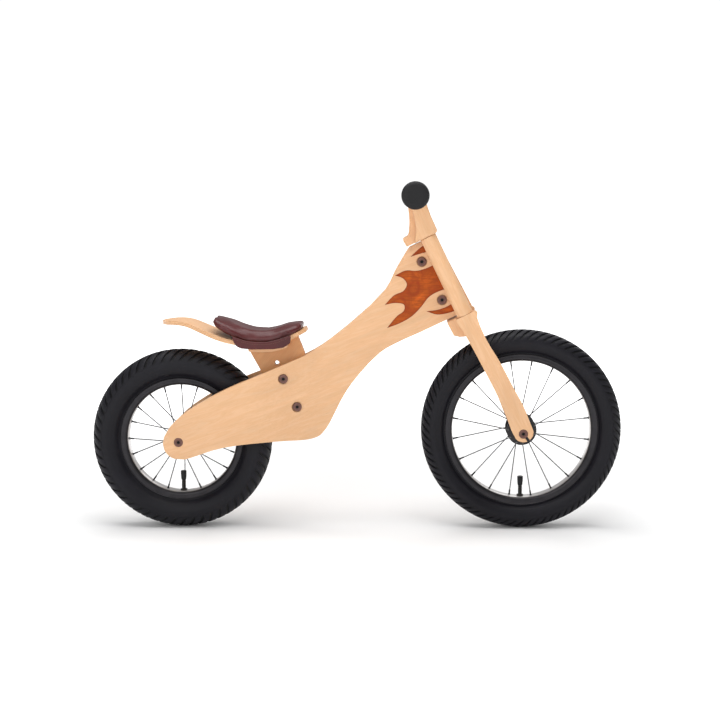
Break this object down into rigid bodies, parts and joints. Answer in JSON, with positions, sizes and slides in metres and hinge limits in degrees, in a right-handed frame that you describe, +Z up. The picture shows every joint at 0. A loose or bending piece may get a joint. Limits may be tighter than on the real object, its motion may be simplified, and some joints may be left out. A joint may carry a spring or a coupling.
{
  "type": "balance bike",
  "caption": "Wooden balance bike with bent-ply frame plates, a turning fork cage and handlebar, a padded saddle and spoked wheels with air tyres.",
  "frame": {"origin": "on the ground under the middle of the bike's length and width", "axes": "+X forward to the front wheel, +Y to the rider's left, +Z up"},
  "size_m": [0.9266, 0.38, 0.604],
  "materials": {
    "birch_ply": "satin lacquer over pale birch veneer",
    "panel_ply": "oiled light brown ply",
    "brass": "turned",
    "bronze_steel": "dark bronze coated steel",
    "brown_leatherette": "smooth semi-gloss",
    "tyre_rubber": "matt",
    "black_rubber": "matt",
    "black_alloy": "black anodised",
    "black_plastic": "moulded",
    "steel": "ground"
  },
  "bodies": {
    "frame": {"side_plate_right": "birch_ply", "side_plate_left": "birch_ply", "upper_head_bush": "brass", "lower_head_bush": "brass", "seat_panel": "panel_ply", "seat_spacer_upper_right": "panel_ply", "seat_spacer_upper_left": "panel_ply", "seat_spacer_lower_right": "panel_ply", "seat_spacer_lower_left": "panel_ply", "seat_cleat_right": "birch_ply", "seat_cleat_left": "birch_ply", "seat_shell": "birch_ply", "saddle_pad": "brown_leatherette", "saddle_flap_right": "brown_leatherette", "saddle_flap_left": "brown_leatherette", "seat_screw_front": "steel", "seat_screw_rear": "steel", "seat_bolt_upper": "bronze_steel", "seat_bolt_upper_nut": "bronze_steel", "seat_bolt_lower": "bronze_steel", "seat_bolt_lower_nut": "bronze_steel", "head_bolt_upper": "bronze_steel", "head_bolt_upper_nut": "bronze_steel", "head_bolt_lower": "bronze_steel", "head_bolt_lower_nut": "bronze_steel", "rear_axle": "steel", "rear_axle_bolt_right": "bronze_steel", "rear_axle_bolt_left": "bronze_steel"},
    "fork": {"crown_block": "birch_ply", "fork_leg_right": "birch_ply", "fork_leg_left": "birch_ply", "column_right": "birch_ply", "column_left": "birch_ply", "yoke_block": "birch_ply", "yoke_plate_right": "birch_ply", "yoke_plate_left": "birch_ply", "steering_pin": "steel", "handlebar": "birch_ply", "handlebar_screw": "steel", "grip_right": "black_rubber", "grip_left": "black_rubber", "front_axle": "steel", "front_axle_bolt_right": "bronze_steel", "front_axle_bolt_left": "bronze_steel"},
    "rear_wheel": {"rear_tyre": "tyre_rubber", "rear_inner_tube": "black_rubber", "rear_rim": "black_alloy", "rear_hub": "black_alloy", "rear_bearing_right": "steel", "rear_bearing_left": "steel", "rear_valve_stem": "brass", "rear_valve_cap": "black_plastic"},
    "front_wheel": {"front_tyre": "tyre_rubber", "front_inner_tube": "black_rubber", "front_rim": "black_alloy", "front_hub": "black_alloy", "front_bearing_right": "steel", "front_bearing_left": "steel", "front_valve_stem": "brass", "front_valve_cap": "black_plastic"}
  },
  "joints": [
    {"name": "steering", "type": "hinge", "parent": "frame", "child": "fork", "pos_m": [0.28645, 0, 0.17413], "axis": [-0.4337, 0, 0.9011], "range_deg": [-40, 40]},
    {"name": "front_wheel_spin", "type": "hinge", "parent": "fork", "child": "front_wheel", "pos_m": [0.28825, 0, 0.175], "axis": [0, 1, 0], "continuous": true},
    {"name": "rear_wheel_spin", "type": "hinge", "parent": "frame", "child": "rear_wheel", "pos_m": [-0.30575, 0, 0.1575], "axis": [0, 1, 0], "continuous": true}
  ]
}
